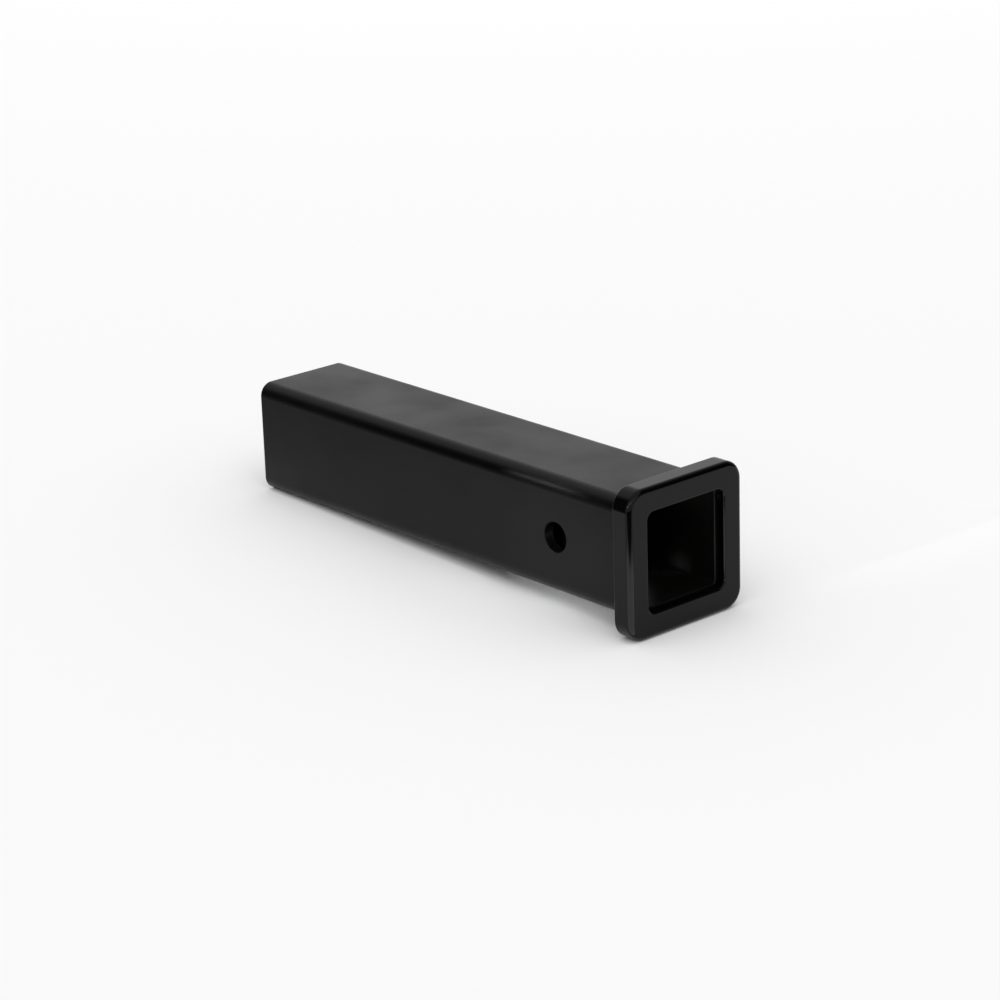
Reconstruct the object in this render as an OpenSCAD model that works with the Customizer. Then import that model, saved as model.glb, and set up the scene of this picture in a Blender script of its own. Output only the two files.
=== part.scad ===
// Receiver tube for a towing hitch: a square steel tube with a cross-drilled pin hole
// and a reinforcing collar welded round its mouth. All sizes are in millimetres.
// The origin is the middle of the pin hole, on the tube's own axis.
// X runs along the tube towards the mouth, Y across it along the pin, and Z up.

/* [Bore] */
// Width of the square shank that slides into the tube
shank_w = 50.8; // [40:0.1:64]
// Gap between the shank and each inside wall
shank_clearance = 0.4; // [0.2:0.05:0.8]
// Radius of the four inside corners
bore_corner_r = 2; // [1.5:0.1:4]

/* [Tube] */
// Length of the tube
tube_len = 304.8; // [150:0.1:900]
// Thickness of the tube's wall
tube_wall = 5.95; // [4:0.05:8]
// Radius of the four long outside corners
tube_corner_r = 7.6; // [5:0.1:12]
// Rounding of the tube's cut ends under the paint
tube_edge_r = 0.6; // [0.3:0.05:1]

/* [Pin hole] */
// Diameter of the hitch pin
pin_d = 15.9; // [12:0.1:20]
// Gap between the pin and the wall of its hole
pin_clearance = 0.3; // [0.1:0.05:0.6]
// Distance from the collar's front face back to the middle of the pin hole
pin_setback = 64.2; // [45:0.1:100]
// Rounding of the hole's outer rims under the paint
pin_edge_r = 0.5; // [0.2:0.05:0.8]

/* [Collar] */
// How far the collar stands out from the tube on each side
collar_rim = 8.65; // [7.5:0.05:14]
// Depth of the collar along the tube
collar_depth = 12; // [10:0.1:20]
// Radius of the collar's four corners
collar_corner_r = 10.8; // [6:0.1:14]
// Rounding of the collar's front edge
collar_front_r = 2.8; // [1:0.1:4]
// Rounding of the collar's back edge
collar_back_r = 0.8; // [0.3:0.1:1.2]
// Thickness of the lip that covers the tube's end
lip_t = 5.6; // [4:0.1:8]
// Step from the tube's inside wall out to the lip's opening
mouth_step = 1.4; // [0.5:0.1:2]
// Corner radius of the lip's opening
mouth_corner_r = 4.5; // [3:0.1:7]
// Rounding of the front edge of the lip's opening
mouth_edge_r = 1; // [0.3:0.1:1.5]
// Gap between the tube and the wall of the collar's socket
socket_clearance = 0.15; // [0.05:0.05:0.4]

/* [Weld] */
// Leg of the fillet weld behind the collar
weld_leg = 5; // [3:0.1:6]
// Crown of the weld above its flat face
weld_crown = 0.8; // [0.3:0.05:1.2]
// Spacing of the weld's ripples
weld_pitch = 3; // [2.4:0.1:5]
// Height of the weld's ripples
weld_ripple = 0.3; // [0.1:0.05:0.5]
// Gap between the weld and the faces it lies on
weld_clearance = 0.02; // [0.02:0.01:0.1]

/* [Hidden] */

// Round faces stay true arcs; the number only sets how they are drawn on screen
$fn = 96;
// Cuts run past the faces that they open by this much
over = 1;

bore_w = shank_w + 2 * shank_clearance;
tube_w = bore_w + 2 * tube_wall;
collar_w = tube_w + 2 * collar_rim;
mouth_w = bore_w + 2 * mouth_step;
pin_hole_r = pin_d / 2 + pin_clearance;

// Places along the tube, measured from the pin hole
front_x = pin_setback;
tube_end_x = front_x - lip_t;
tube_back_x = tube_end_x - tube_len;
collar_back_x = front_x - collar_depth;

paint_colour = "#26282a";
weld_colour = "#303234";

// Turns what is drawn upright so that it starts at x and its height runs along the tube
module along_tube(x) {
    translate([x, 0, 0]) rotate([90, 0, 90]) children();
}

// What lies outside a quarter round of radius r drawn about the origin
module outside_round(r) {
    difference() {
        square(r + over);
        circle(r);
    }
}

// Carries a flat profile round a square of the given width and corner radius.
// The profile's x is measured outwards from the corner's centre, and its y along the tube.
module carry_round(w, r) {
    half = w / 2 - r;
    for (turn = [0:90:270]) rotate(turn) translate([half, half, 0]) {
        rotate_extrude(angle = 90) children();
        rotate([90, 0, 0]) linear_extrude(2 * half) children();
    }
}

// Square bar with round corners, standing from 0 up to h, with the edges of both ends rounded
module round_bar(w, r, h, back_r, front_r) {
    carry_round(w, r) difference() {
        square([r, h]);
        translate([r - front_r, h - front_r]) outside_round(front_r);
        translate([r - back_r, back_r]) mirror([0, 1]) outside_round(back_r);
    }
    linear_extrude(h) square(w - 2 * r, center = true);
}

// Square hole with round corners, cut from below 0 up to h
module round_hole(w, r, h) {
    translate([0, 0, -over]) linear_extrude(h + over) {
        square([w, w - 2 * r], center = true);
        square([w - 2 * r, w], center = true);
        for (x = [-1, 1], y = [-1, 1]) translate([x, y] * (w / 2 - r)) circle(r);
    }
}

// Section of a cut that flares out to meet the face at 0 in a round edge
module rim_section(r, edge_r) {
    difference() {
        translate([r - edge_r, -edge_r]) square([2 * edge_r, edge_r + over]);
        translate([r + edge_r, -edge_r]) circle(edge_r);
    }
}

module tube_bore() {
    round_hole(bore_w, bore_corner_r, tube_len + over);
    translate([0, 0, tube_len]) carry_round(bore_w, bore_corner_r) rim_section(bore_corner_r, tube_edge_r);
    mirror([0, 0, 1]) carry_round(bore_w, bore_corner_r) rim_section(bore_corner_r, tube_edge_r);
}

// The pin hole runs through both sides, and each outer rim is rounded
module pin_cut() {
    rotate([90, 0, 0]) cylinder(h = tube_w + 2 * over, r = pin_hole_r, center = true);
    for (side = [0, 180]) rotate([0, 0, side]) translate([0, tube_w / 2, 0]) rotate([-90, 0, 0])
        rotate_extrude() rim_section(pin_hole_r, pin_edge_r);
}

module receiver_tube() {
    color(paint_colour) difference() {
        along_tube(tube_back_x) difference() {
            round_bar(tube_w, tube_corner_r, tube_len, tube_edge_r, tube_edge_r);
            tube_bore();
        }
        pin_cut();
    }
}

// The collar stands with its back face at 0, and the tube's end sits in its socket behind the lip
module collar() {
    color(paint_colour) along_tube(collar_back_x) difference() {
        round_bar(collar_w, collar_corner_r, collar_depth, collar_back_r, collar_front_r);
        round_hole(tube_w + 2 * socket_clearance, tube_corner_r + socket_clearance, collar_depth - lip_t);
        round_hole(mouth_w, mouth_corner_r, collar_depth + over);
        translate([0, 0, collar_depth]) carry_round(mouth_w, mouth_corner_r)
            rim_section(mouth_corner_r, mouth_edge_r);
    }
}

// The weld follows the tube's outside, so places on it are given by a distance round the tube
weld_half = tube_w / 2 - tube_corner_r;
weld_arc = PI / 2 * tube_corner_r;
weld_side = 2 * weld_half + weld_arc;
weld_round = 4 * weld_side;
ripple_count = round(weld_round / weld_pitch);
ripple_steps = 3;
face_steps = 6;

// A point at distance s round the tube, u out from its surface and v behind the collar
function weld_point(s, u, v) =
    let (
        lap = s - weld_round * floor(s / weld_round),
        side = floor(lap / weld_side),
        along = lap - side * weld_side,
        past = along - 2 * weld_half,
        bend = past / weld_arc * 90,
        y = past > 0 ? weld_half + (tube_corner_r + u) * cos(bend) : tube_w / 2 + u,
        z = past > 0 ? weld_half + (tube_corner_r + u) * sin(bend) : along - weld_half,
        turn = 90 * side
    )
    [collar_back_x - v, y * cos(turn) - z * sin(turn), y * sin(turn) + z * cos(turn)];

// The bead swells and shrinks a little on its way round, as one laid by hand does
function weld_sway(s) =
    1 + 0.04 * sin(3 * 360 * s / weld_round + 50) + 0.03 * sin(11 * 360 * s / weld_round);

// One ring of points: the root first, then the face from the collar round to the tube.
// The middle of the face runs ahead of its toes, so the ripples are crescents.
function weld_ring(i) =
    let (
        s = i * weld_round / (ripple_count * ripple_steps),
        leg = weld_leg * weld_sway(s),
        height = weld_crown + weld_ripple * sin(180 * (i % ripple_steps) / ripple_steps)
    )
    concat(
        [weld_point(s, weld_clearance, weld_clearance)],
        [for (j = [0:face_steps])
            let (
                t = j / face_steps,
                arch = 4 * t * (1 - t),
                rise = arch * height / sqrt(2)
            )
            weld_point(
                s + arch * weld_pitch / 2,
                max(leg * (1 - t) + rise, weld_clearance),
                max(leg * t + rise, weld_clearance)
            )]
    );

module collar_weld() {
    rings = ripple_count * ripple_steps;
    width = face_steps + 2;
    points = [for (i = [0:rings - 1]) each weld_ring(i)];
    faces = [for (i = [0:rings - 1], j = [0:width - 1])
        let (
            row = i * width,
            next_row = (i + 1) % rings * width,
            next = (j + 1) % width
        )
        each [
            [row + j, row + next, next_row + next],
            [row + j, next_row + next, next_row + j]
        ]];
    color(weld_colour) polyhedron(points, faces);
}

receiver_tube();
collar();
collar_weld();
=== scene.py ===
import math

import bpy
from mathutils import Matrix, Vector


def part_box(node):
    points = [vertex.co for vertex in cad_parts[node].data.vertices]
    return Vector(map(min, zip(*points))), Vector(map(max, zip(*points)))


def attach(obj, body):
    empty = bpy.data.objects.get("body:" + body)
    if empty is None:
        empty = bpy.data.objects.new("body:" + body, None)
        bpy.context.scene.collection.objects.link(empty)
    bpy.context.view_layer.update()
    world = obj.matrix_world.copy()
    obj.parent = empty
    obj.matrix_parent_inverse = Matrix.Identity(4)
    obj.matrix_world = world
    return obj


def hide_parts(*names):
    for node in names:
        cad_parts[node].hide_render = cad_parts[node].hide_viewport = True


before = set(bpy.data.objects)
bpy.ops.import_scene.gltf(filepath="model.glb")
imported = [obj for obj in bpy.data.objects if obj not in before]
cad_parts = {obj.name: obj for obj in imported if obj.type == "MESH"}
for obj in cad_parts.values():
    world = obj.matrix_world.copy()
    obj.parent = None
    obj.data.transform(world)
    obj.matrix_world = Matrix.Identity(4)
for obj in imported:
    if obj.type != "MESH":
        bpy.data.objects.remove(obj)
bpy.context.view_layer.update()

# A hitch receiver tube: square tube, collar round its mouth and the weld between them.
# Metres, origin on the pin hole's axis, X towards the mouth, Y along the pin, Z up.

mm = 0.001


def fromHex(code):
    # sRGB hex to the linear colour that a shader wants
    channels = [int(code[i:i + 2], 16) / 255 for i in (0, 2, 4)]
    linear = [c / 12.92 if c <= 0.04045 else ((c + 0.055) / 1.055) ** 2.4 for c in channels]
    return (*linear, 1.0)


def addNode(tree, kind, links=None, **settings):
    # links gives each input, by name or number, another node's output or a plain value
    node = tree.nodes.new(kind)
    for name, value in settings.items():
        setattr(node, name, value)
    for name, source in (links or {}).items():
        if isinstance(source, bpy.types.NodeSocket):
            tree.links.new(source, node.inputs[name])
        else:
            node.inputs[name].default_value = source
    return node


# Camera

cameraSizes = {
    "azimuth": 48.78,       # degrees round from the tube's near side towards its mouth
    "elevation": 19.10,
    "roll": -1.86,          # the tube rests a little nose up on its collar, the camera stood level
    "distance": 1.6872,
    "lens": 112.26,
    "aimX": -0.07846,
    "aimZ": -0.00635,
}


def makeCamera(sizes):
    azimuth = math.radians(sizes["azimuth"])
    elevation = math.radians(sizes["elevation"])
    roll = math.radians(sizes["roll"])
    back = Vector((
        math.sin(azimuth) * math.cos(elevation),
        -math.cos(azimuth) * math.cos(elevation),
        math.sin(elevation),
    ))
    level = Vector((math.cos(azimuth), math.sin(azimuth), 0))
    upright = back.cross(level)
    right = math.cos(roll) * level + math.sin(roll) * upright
    up = math.cos(roll) * upright - math.sin(roll) * level
    place = Vector((sizes["aimX"], 0, sizes["aimZ"])) + back * sizes["distance"]
    lens = bpy.data.cameras.new("camera")
    lens.lens = sizes["lens"]
    lens.sensor_width = 36
    lens.clip_start = 0.01
    lens.clip_end = 100
    camera = bpy.data.objects.new("camera", lens)
    turned = Matrix((right, up, back)).transposed()
    camera.matrix_world = Matrix.Translation(place) @ turned.to_4x4()
    bpy.context.scene.collection.objects.link(camera)
    bpy.context.scene.camera = camera
    return camera


camera = makeCamera(cameraSizes)
bpy.context.scene.view_settings.view_transform = "Standard"
print("camera set")


# Floor: the tube rests on the back of its collar and on its own rear edge

floorSizes = {
    "reach": 8.0,
    "fadeStart": 1.2,       # the paper sweep fades to plain white beyond this
    "fadeEnd": 3.0,
    "colour": "f6f6f6",
}


def restHeight(x):
    # Height of the resting plane at x, from the two edges that touch it
    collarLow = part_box("collar")[0]
    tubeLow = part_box("receiver_tube")[0]
    frontX = collarLow.x + 0.8 * mm
    slope = (collarLow.z - tubeLow.z) / (frontX - tubeLow.x)
    return collarLow.z - 0.02 * mm + slope * (x - frontX)


def makePaperSweep(sizes):
    # Matt white background paper, lit evenly; far off it is only white
    material = bpy.data.materials.new("matt_white_paper")
    material.use_nodes = True
    tree = material.node_tree
    tree.nodes.clear()
    place = addNode(tree, "ShaderNodeTexCoord")
    far = addNode(tree, "ShaderNodeVectorMath", {0: place.outputs["Object"]}, operation="LENGTH")
    fade = addNode(tree, "ShaderNodeMapRange", {
        "Value": far.outputs["Value"],
        "From Min": sizes["fadeStart"],
        "From Max": sizes["fadeEnd"],
    }, interpolation_type="SMOOTHSTEP")
    matt = addNode(tree, "ShaderNodeBsdfDiffuse", {"Color": fromHex(sizes["colour"])})
    white = addNode(tree, "ShaderNodeEmission", {"Color": fromHex("ffffff"), "Strength": 1.0})
    near = addNode(tree, "ShaderNodeMixShader", {
        0: fade.outputs["Result"], 1: matt.outputs[0], 2: white.outputs[0],
    })
    # Seen from underneath the paper is clear, so that the object's underside can be looked at
    under = addNode(tree, "ShaderNodeNewGeometry")
    clear = addNode(tree, "ShaderNodeBsdfTransparent")
    either = addNode(tree, "ShaderNodeMixShader", {
        0: under.outputs["Backfacing"], 1: near.outputs[0], 2: clear.outputs[0],
    })
    addNode(tree, "ShaderNodeOutputMaterial", {"Surface": either.outputs[0]})
    return material


def makeFloor(sizes):
    reach = sizes["reach"]
    corners = [(-reach, -reach), (reach, -reach), (reach, reach), (-reach, reach)]
    mesh = bpy.data.meshes.new("floor")
    mesh.from_pydata([(x, y, restHeight(x)) for x, y in corners], [], [(0, 1, 2, 3)])
    mesh.materials.append(makePaperSweep(sizes))
    floor = bpy.data.objects.new("floor", mesh)
    bpy.context.scene.collection.objects.link(floor)
    return floor


floor = makeFloor(floorSizes)
print("floor laid")


# Light: an even pale room and sky panel, a soft box behind, small lamps snooted onto the collar
# and the pin hole, and sheets seen only in the gloss: painted dark reflections and a painted bright
# reflection of a lit floor pool

roomSizes = {
    "strength": 0.70,
    "skyPanel": 1.12,       # what the panel overhead adds to the floor, in watts a square metre
    "skyAngle": 70,
    "skyFrom": (0.25, -0.30, 0.92),
}
softBoxes = {
    "behind": {
        "place": (-1.60, 1.45, 0.80), "aim": (0, 0, 0.1), "size": (1.6, 0.9), "radiance": 0.28,
    },
}
snoots = {                  # azimuth and elevation of each lamp as seen from what it is aimed at
    "corner_1": {"aim": (0.063, -0.038, 0.035), "azimuth": -92, "elevation": 19, "watts": 30},
    "corner_2": {"aim": (0.063, -0.038, 0.035), "azimuth": -53, "elevation": 32, "watts": 30},
    "corner_3": {"aim": (0.063, -0.038, 0.035), "azimuth": -25, "elevation": 33, "watts": 30},
    "corner_4": {"aim": (0.063, -0.038, 0.035), "azimuth": -4, "elevation": 34, "watts": 30},
    "hole_left": {
        "aim": (0, -0.029, 0), "azimuth": -121, "elevation": 27, "watts": 450, "spread": 0.9,
    },
    "hole_front": {
        "aim": (0, -0.029, 0), "azimuth": -47, "elevation": 22, "watts": 450, "spread": 0.9,
    },
}
snootSizes = {"distance": 1.5, "radius": 0.03, "spread": 1.4, "blend": 0.5}


def makeRoom(sizes):
    world = bpy.data.worlds.new("pale_room")
    world.use_nodes = True
    tree = world.node_tree
    tree.nodes.clear()
    room = addNode(tree, "ShaderNodeBackground", {
        "Color": fromHex("ffffff"), "Strength": sizes["strength"],
    })
    addNode(tree, "ShaderNodeOutputWorld", {"Surface": room.outputs[0]})
    bpy.context.scene.world = world
    lamp = bpy.data.lights.new("sky_panel", "SUN")
    lamp.energy = sizes["skyPanel"]
    lamp.angle = math.radians(sizes["skyAngle"])
    placeLamp("sky_panel", lamp, sizes["skyFrom"], (0, 0, 0)).visible_glossy = False


def placeLamp(name, lamp, place, aim):
    place = Vector(place)
    turn = (place - Vector(aim)).to_track_quat("Z", "Y").to_matrix().to_4x4()
    holder = bpy.data.objects.new(name, lamp)
    holder.matrix_world = Matrix.Translation(place) @ turn
    holder.visible_camera = False
    bpy.context.scene.collection.objects.link(holder)
    return holder


def makeSoftBox(name, sizes):
    width, height = sizes["size"]
    lamp = bpy.data.lights.new(name, "AREA")
    lamp.shape = "RECTANGLE"
    lamp.size = width
    lamp.size_y = height
    lamp.energy = sizes["radiance"] * math.pi * width * height
    placeLamp(name, lamp, sizes["place"], sizes["aim"])


def makeSnoot(name, sizes):
    azimuth = math.radians(sizes["azimuth"])
    elevation = math.radians(sizes["elevation"])
    away = Vector((
        math.cos(azimuth) * math.cos(elevation),
        math.sin(azimuth) * math.cos(elevation),
        math.sin(elevation),
    ))
    lamp = bpy.data.lights.new(name, "SPOT")
    lamp.shadow_soft_size = snootSizes["radius"]
    lamp.energy = sizes["watts"]
    lamp.spot_size = math.radians(sizes.get("spread", snootSizes["spread"]))
    lamp.spot_blend = snootSizes["blend"]
    aim = Vector(sizes["aim"])
    placeLamp(name, lamp, aim + away * snootSizes["distance"], aim)


# Each painted dark reflection is a sheet seen only in the gloss, a row of columns from start to end, each
# column a list of (place, how dark)
collarFoot = Vector((0.064, -0.040, 0))


def fromFoot(reach, azimuth):
    # A place on the floor, as far and in the direction given from the collar's near front corner
    turn = math.radians(azimuth)
    x = collarFoot.x + reach * math.cos(turn)
    return (x, collarFoot.y + reach * math.sin(turn), restHeight(x) + 0.5 * mm)


darkReflections = {
    "left": [
        [((x, -0.22, restHeight(x)), 1.0), ((x, -0.22, 0.22), 1.0), ((x, -0.22, 0.42), 0.0)]
        for x in (-0.80, -0.02)
    ],
    "rear_left": [
        [((x, -0.06, restHeight(x) + mm), dark), ((x, -0.22, restHeight(x) + mm), dark)]
        for x, dark in ((-0.60, 0.45), (-0.35, 0.40), (-0.16, 0.12), (-0.04, 0.0))
    ],
    "right": [
        [((x, 0.9, 0.0), dark), ((x, 0.9, 1.3), dark), ((x, 0.9, 1.8), 0.0)]
        for x, dark in ((-0.60, 0.0), (0.0, 0.5), (0.45, 1.0), (2.2, 1.0))
    ],
    "front": [
        [(fromFoot(near, azimuth), 1.0), (fromFoot(far, azimuth), 1.0)]
        for near, far, azimuth in ((0.22, 0.9, -92), (0.125, 1.0, -35), (0.20, 0.9, 12))
    ],
}
# A pool of light on the floor by the collar's near front corner, painted as a glowing sheet seen only in
# the gloss: a painted bright reflection, no lamp
pool = {"radiance": 2.4, "rim": ((0.125, -112), (0.16, -80), (0.122, -35), (0.16, 8), (0.12, 34))}


def makeCardMaterial(name, colour, strength):
    # Painted dark reflection (black) or painted bright reflection (glowing white), both seen only in the
    # gloss; the attribute makes its edges soft
    material = bpy.data.materials.new(name)
    material.use_nodes = True
    tree = material.node_tree
    tree.nodes.clear()
    dark = addNode(tree, "ShaderNodeAttribute", attribute_name="cover")
    clear = addNode(tree, "ShaderNodeBsdfTransparent")
    face = addNode(tree, "ShaderNodeEmission", {"Color": fromHex(colour), "Strength": strength})
    either = addNode(tree, "ShaderNodeMixShader", {
        0: dark.outputs["Fac"], 1: clear.outputs[0], 2: face.outputs[0],
    })
    addNode(tree, "ShaderNodeOutputMaterial", {"Surface": either.outputs[0]})
    return material


def makeCard(name, places, covers, faces, material):
    mesh = bpy.data.meshes.new(name)
    mesh.from_pydata(places, [], faces)
    cover = mesh.attributes.new("cover", "FLOAT", "POINT")
    cover.data.foreach_set("value", covers)
    mesh.materials.append(material)
    card = bpy.data.objects.new(name, mesh)
    # Hidden from the camera, from diffuse light and from shadows: the sheet shows only as a painted
    # reflection
    card.visible_camera = False
    card.visible_diffuse = False
    card.visible_shadow = False
    bpy.context.scene.collection.objects.link(card)


def makeCards():
    # Black sheets seen only in the gloss: painted dark reflections of the surroundings and painted floor
    # shade
    black = makeCardMaterial("painted_dark_reflection", "000000", 0.0)
    for name, columns in darkReflections.items():
        tall = len(columns[0])
        spots = [spot for column in columns for spot in column]
        faces = [
            (c * tall + r, (c + 1) * tall + r, (c + 1) * tall + r + 1, c * tall + r + 1)
            for c in range(len(columns) - 1) for r in range(tall - 1)
        ]
        makeCard(f"dark_reflection_{name}", [p for p, _ in spots], [d for _, d in spots], faces, black)
    # Painted bright reflection: a glowing white fan on the floor, seen only in the gloss, where a pool of
    # light would lie
    lit = makeCardMaterial("painted_bright_reflection", "ffffff", pool["radiance"])
    rim = [fromFoot(reach, azimuth) for reach, azimuth in pool["rim"]]
    middle = fromFoot(0.0, 0)
    faces = [(0, i + 1, i + 2) for i in range(len(rim) - 1)]
    makeCard("painted_light_pool", [middle] + rim, [1.0] * (len(rim) + 1), faces, lit)


makeRoom(roomSizes)
for name, sizes in softBoxes.items():
    makeSoftBox(f"soft_box_{name}", sizes)
for name, sizes in snoots.items():
    makeSnoot(f"snoot_{name}", sizes)
makeCards()
print("lights placed")


# Paint: gloss black powder coat, sprayed on and baked, over bare steel

tubeCoat = {
    "name": "gloss_black_powder_coat",
    "colour": "040405",
    "boreColour": "0e0d0c",
    "ior": 1.27,
    "gloss": 0.30,          # roughness where the coat flowed out well
    "haze": 0.40,           # roughness where it lies thin
    "peel": 2.2,            # mm between the hills of its orange peel
    "peelDepth": 0.0035,    # mm
    "nib": 14.0,            # mm between dust nibs
    "nibSize": 0.45,        # mm across
    "bore": 0.32,           # roughness of the coat inside the bore
}


def makeCoat(coat, boreHalf=None):
    material = bpy.data.materials.new(coat["name"])
    material.use_nodes = True
    tree = material.node_tree
    tree.nodes.clear()
    place = addNode(tree, "ShaderNodeTexCoord").outputs["Object"]
    # Orange peel: the baked powder levels into low soft hills
    peel = addNode(tree, "ShaderNodeTexNoise", {
        "Vector": place, "Scale": 1 / (coat["peel"] * mm), "Detail": 2.0, "Roughness": 0.45,
    })
    flow = addNode(tree, "ShaderNodeTexNoise", {
        "Vector": place, "Scale": 1 / (38 * mm), "Detail": 3.0, "Roughness": 0.5,
    })
    # Dust nibs: specks caught in the coat
    speck = addNode(tree, "ShaderNodeTexVoronoi", {
        "Vector": place, "Scale": 1 / (coat["nib"] * mm),
    })
    nib = addNode(tree, "ShaderNodeMapRange", {
        "Value": speck.outputs["Distance"],
        "From Min": 0.5 * coat["nibSize"] / coat["nib"],
        "From Max": 0.15 * coat["nibSize"] / coat["nib"],
    }, interpolation_type="SMOOTHSTEP")
    rough = addNode(tree, "ShaderNodeMapRange", {
        "Value": flow.outputs["Fac"],
        "From Min": 0.35, "From Max": 0.7,
        "To Min": coat["gloss"], "To Max": coat["haze"],
    })
    roughness = rough.outputs["Result"]
    hue = fromHex(coat["colour"])
    if boreHalf is not None:
        # Inside the bore the gun hardly reached, so the coat is thin and a little dusty
        parts = addNode(tree, "ShaderNodeSeparateXYZ", {0: place})
        across = addNode(tree, "ShaderNodeMath", {0: parts.outputs["Y"]}, operation="ABSOLUTE")
        over = addNode(tree, "ShaderNodeMath", {0: parts.outputs["Z"]}, operation="ABSOLUTE")
        farthest = addNode(tree, "ShaderNodeMath", {
            0: across.outputs[0], 1: over.outputs[0],
        }, operation="MAXIMUM")
        inside = addNode(tree, "ShaderNodeMapRange", {
            "Value": farthest.outputs[0],
            "From Min": boreHalf + 0.8 * mm, "From Max": boreHalf + 0.1 * mm,
        })
        dull = addNode(tree, "ShaderNodeMix", {
            "Factor": inside.outputs["Result"], "A": roughness, "B": coat["bore"],
        }, data_type="FLOAT")
        roughness = dull.outputs["Result"]
        hue = addNode(tree, "ShaderNodeMix", {
            "Factor": inside.outputs["Result"],
            "A": fromHex(coat["colour"]), "B": fromHex(coat["boreColour"]),
        }, data_type="RGBA").outputs["Result"]
    height = addNode(tree, "ShaderNodeMath", {
        0: nib.outputs["Result"], 1: 4.0, 2: peel.outputs["Fac"],
    }, operation="MULTIPLY_ADD")
    bump = addNode(tree, "ShaderNodeBump", {
        "Height": height.outputs[0], "Distance": coat["peelDepth"] * mm * 2, "Strength": 1.0,
    })
    paint = addNode(tree, "ShaderNodeBsdfPrincipled", {
        "Base Color": hue,
        "Roughness": roughness,
        "IOR": coat["ior"],
        "Normal": bump.outputs["Normal"],
    })
    addNode(tree, "ShaderNodeOutputMaterial", {"Surface": paint.outputs[0]})
    return material


def paintNode(node, material):
    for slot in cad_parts[node].material_slots:
        slot.material = material


boreHalf = 25.8 * mm
tubePaint = makeCoat(tubeCoat, boreHalf)
paintNode("receiver_tube", tubePaint)
collarCoat = dict(
    tubeCoat, name="gloss_black_powder_coat_on_collar", gloss=0.08, haze=0.15, peel=1.7,
)
paintNode("collar", makeCoat(collarCoat))
print("tube and collar painted")


# Weld: one rippled fillet bead round the joint behind the collar

weldSizes = {
    "name": "weld_bead",
    "leg": 5 * mm,
    "crown": 0.8 * mm,
    "pitch": 3 * mm,
    "ripple": 0.3 * mm,
    "gap": 0.02 * mm,
    "cornerRadius": 7.6 * mm,
    "ringsPerRipple": 10,
    "faceSteps": 14,
    "wander": 0.06,         # how far the bead swells and shrinks, as a share of its leg
    "seed": 4.0,
}


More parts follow.
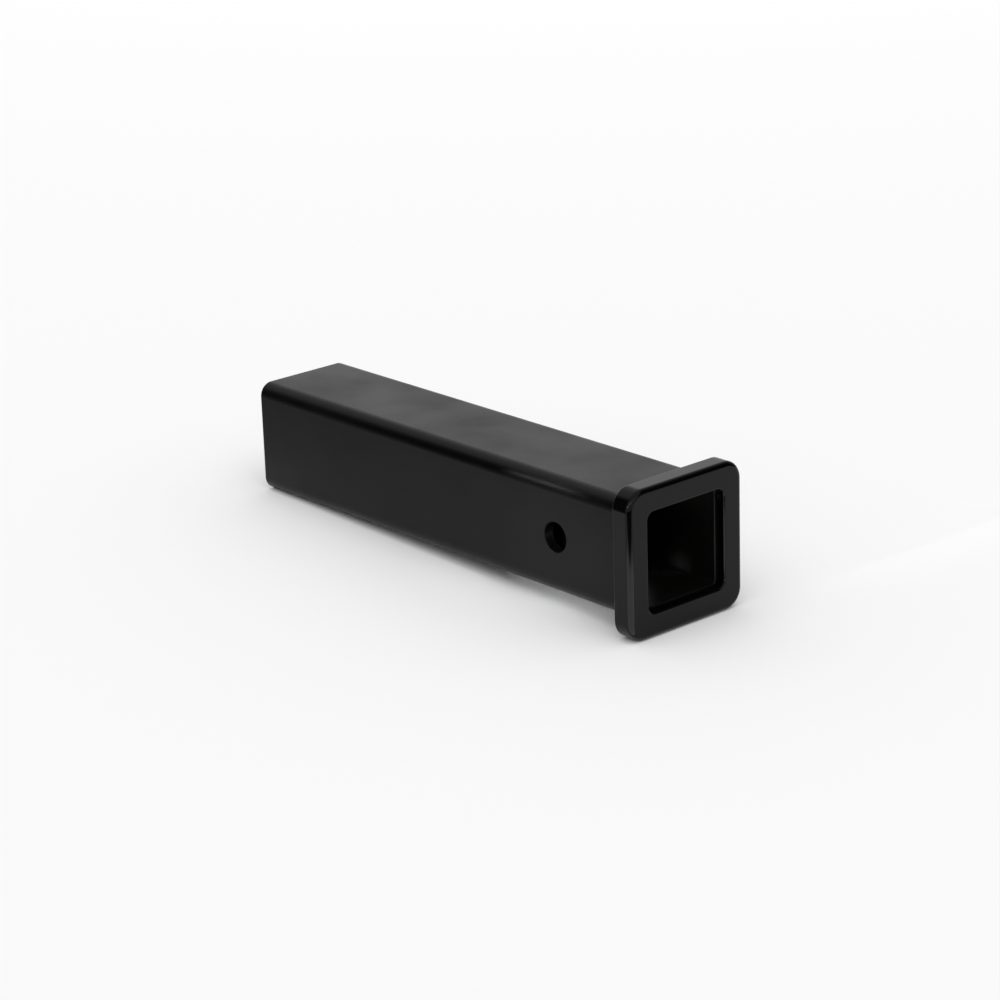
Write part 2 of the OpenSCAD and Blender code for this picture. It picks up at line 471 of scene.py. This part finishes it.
def makeWeldTree(sizes):
    tree = bpy.data.node_groups.new("weld_bead_round_tube", "GeometryNodeTree")
    face = tree.interface
    face.new_socket("Geometry", in_out="OUTPUT", socket_type="NodeSocketGeometry")
    names = ["Width", "Corner Radius", "Leg", "Crown", "Pitch", "Ripple", "Gap", "Wander", "Seed", "Back"]
    for name in names:
        face.new_socket(name, in_out="INPUT", socket_type="NodeSocketFloat")
    face.new_socket("Ripples", in_out="INPUT", socket_type="NodeSocketInt")
    face.new_socket("Paint", in_out="INPUT", socket_type="NodeSocketMaterial")
    given = addNode(tree, "NodeGroupInput").outputs

    def calc(operation, *values):
        return addNode(
            tree, "ShaderNodeMath", dict(enumerate(values)), operation=operation
        ).outputs[0]

    # The joint's path: the tube's own outline, a rounded square, in as many points as rings
    square = addNode(tree, "GeometryNodeCurvePrimitiveQuadrilateral", {
        "Width": given["Width"], "Height": given["Width"],
    })
    rounded = addNode(tree, "GeometryNodeFilletCurve", {
        "Curve": square.outputs["Curve"], "Count": 24, "Radius": given["Corner Radius"],
    }, mode="POLY")
    rings = calc("MULTIPLY", given["Ripples"], sizes["ringsPerRipple"])
    even = addNode(tree, "GeometryNodeResampleCurve", {
        "Curve": rounded.outputs["Curve"], "Count": rings,
    }, mode="COUNT")
    upright = addNode(tree, "GeometryNodeSetCurveNormal", {
        "Curve": even.outputs["Curve"],
    }, mode="Z_UP")
    spline = addNode(tree, "GeometryNodeSplineParameter")
    path = addNode(tree, "GeometryNodeCaptureAttribute", {0: upright.outputs["Curve"]})
    path.capture_items.new("FLOAT", "along")
    tree.links.new(spline.outputs["Factor"], path.inputs["along"])

    # The bead's section: its root in the corner, then its face from collar to tube
    steps = sizes["faceSteps"]
    ring = addNode(tree, "GeometryNodeCurvePrimitiveCircle", {"Resolution": steps + 2})
    index = addNode(tree, "GeometryNodeInputIndex").outputs[0]
    share = calc("DIVIDE", calc("SUBTRACT", index, 1.0), float(steps))
    arch = calc("MULTIPLY", calc("MULTIPLY", share, 4.0), calc("SUBTRACT", 1.0, share))
    rise = calc("MULTIPLY", calc("MULTIPLY", arch, given["Crown"]), math.sqrt(0.5))
    out = calc("MULTIPLY_ADD", given["Leg"], calc("SUBTRACT", 1.0, share), rise)
    behind = calc("MULTIPLY_ADD", given["Leg"], share, rise)
    onFace = calc("GREATER_THAN", index, 0.5)
    outX = calc("MAXIMUM", calc("MULTIPLY", out, onFace), given["Gap"])
    outY = calc("MAXIMUM", calc("MULTIPLY", behind, onFace), given["Gap"])
    spot = addNode(tree, "ShaderNodeCombineXYZ", {"X": outX, "Y": outY})
    shaped = addNode(tree, "GeometryNodeSetPosition", {
        "Geometry": ring.outputs["Curve"], "Position": spot.outputs[0],
    })
    section = addNode(tree, "GeometryNodeCaptureAttribute", {0: shaped.outputs[0]})
    section.capture_items.new("FLOAT", "arch")
    tree.links.new(calc("MULTIPLY", calc("MAXIMUM", arch, 0.0), onFace), section.inputs["arch"])

    bead = addNode(tree, "GeometryNodeCurveToMesh", {
        "Curve": path.outputs[0], "Profile Curve": section.outputs[0],
    })

    # Ripples: each is a crescent, its middle ahead of its toes, with a little of the hand in it
    archOn = section.outputs["arch"]
    spotNow = addNode(tree, "GeometryNodeInputPosition").outputs[0]
    hand = addNode(tree, "ShaderNodeTexNoise", {
        "Vector": spotNow, "W": given["Seed"], "Scale": 1 / (9 * mm), "Detail": 1.0,
    }, noise_dimensions="4D").outputs["Fac"]
    count = calc("MULTIPLY", path.outputs["along"], given["Ripples"])
    ahead = calc("MULTIPLY_ADD", archOn, 0.5, count)
    unsteady = calc("MULTIPLY_ADD", hand, 0.5, ahead)
    puddle = calc("FRACT", unsteady)
    scallop = calc("SINE", calc("MULTIPLY", calc("POWER", puddle, 0.75), math.pi))
    lift = calc("MULTIPLY", calc("MULTIPLY", scallop, given["Ripple"]), archOn)
    swell = calc("MULTIPLY", calc("MULTIPLY", calc("SUBTRACT", hand, 0.5), given["Leg"]), given["Wander"])
    push = calc("ADD", lift, calc("MULTIPLY", swell, calc("MULTIPLY", archOn, 4.0)))
    normal = addNode(tree, "GeometryNodeInputNormal").outputs["Normal"]
    shift = addNode(tree, "ShaderNodeVectorMath", {0: normal, "Scale": push}, operation="SCALE")
    rippled = addNode(tree, "GeometryNodeSetPosition", {
        "Geometry": bead.outputs["Mesh"], "Offset": shift.outputs[0],
    })

    # Stood upright behind the collar: the path's plane faces along the tube
    back = addNode(tree, "ShaderNodeCombineXYZ", {"X": given["Back"]})
    stood = addNode(tree, "GeometryNodeTransform", {
        "Geometry": rippled.outputs[0],
        "Translation": back.outputs[0],
        "Rotation": (0.0, math.pi / 2, 0.0),
    })
    smooth = addNode(tree, "GeometryNodeSetShadeSmooth", {0: stood.outputs[0]})
    real = addNode(tree, "GeometryNodeRealizeInstances", {0: smooth.outputs[0]})
    done = addNode(tree, "GeometryNodeSetMaterial", {
        "Geometry": real.outputs[0], "Material": given["Paint"],
    })
    addNode(tree, "NodeGroupOutput", {0: done.outputs[0]})
    return tree


def makeWeld(sizes, material):
    tree = makeWeldTree(sizes)
    tubeLow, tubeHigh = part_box("receiver_tube")
    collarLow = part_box("collar")[0]
    width = tubeHigh.y - tubeLow.y
    radius = sizes["cornerRadius"]
    wayRound = 4 * (width - 2 * radius) + 2 * math.pi * radius
    values = {
        "Width": width, "Corner Radius": radius, "Leg": sizes["leg"], "Crown": sizes["crown"],
        "Pitch": sizes["pitch"], "Ripple": sizes["ripple"], "Gap": sizes["gap"],
        "Wander": sizes["wander"], "Seed": sizes["seed"], "Back": collarLow.x,
        "Ripples": round(wayRound / sizes["pitch"]), "Paint": material,
    }
    holder = bpy.data.objects.new("weld_path", bpy.data.meshes.new("weld_path"))
    bpy.context.scene.collection.objects.link(holder)
    modifier = holder.modifiers.new("weld", "NODES")
    modifier.node_group = tree
    for item in tree.interface.items_tree:
        if item.in_out == "INPUT":
            modifier[item.identifier] = values[item.name]
    holder.update_tag()
    ready = bpy.context.evaluated_depsgraph_get()
    mesh = bpy.data.meshes.new_from_object(holder.evaluated_get(ready))
    bpy.data.objects.remove(holder)
    mesh.name = sizes["name"]
    bead = bpy.data.objects.new(sizes["name"], mesh)
    bpy.context.scene.collection.objects.link(bead)
    return bead


weldCoat = dict(tubeCoat, name="black_powder_coat_over_weld", haze=0.26, peelDepth=0.006)
weld = makeWeld(weldSizes, makeCoat(weldCoat))
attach(weld, "root")
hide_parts("collar_weld")
print("weld laid:", len(weld.data.polygons), "faces")
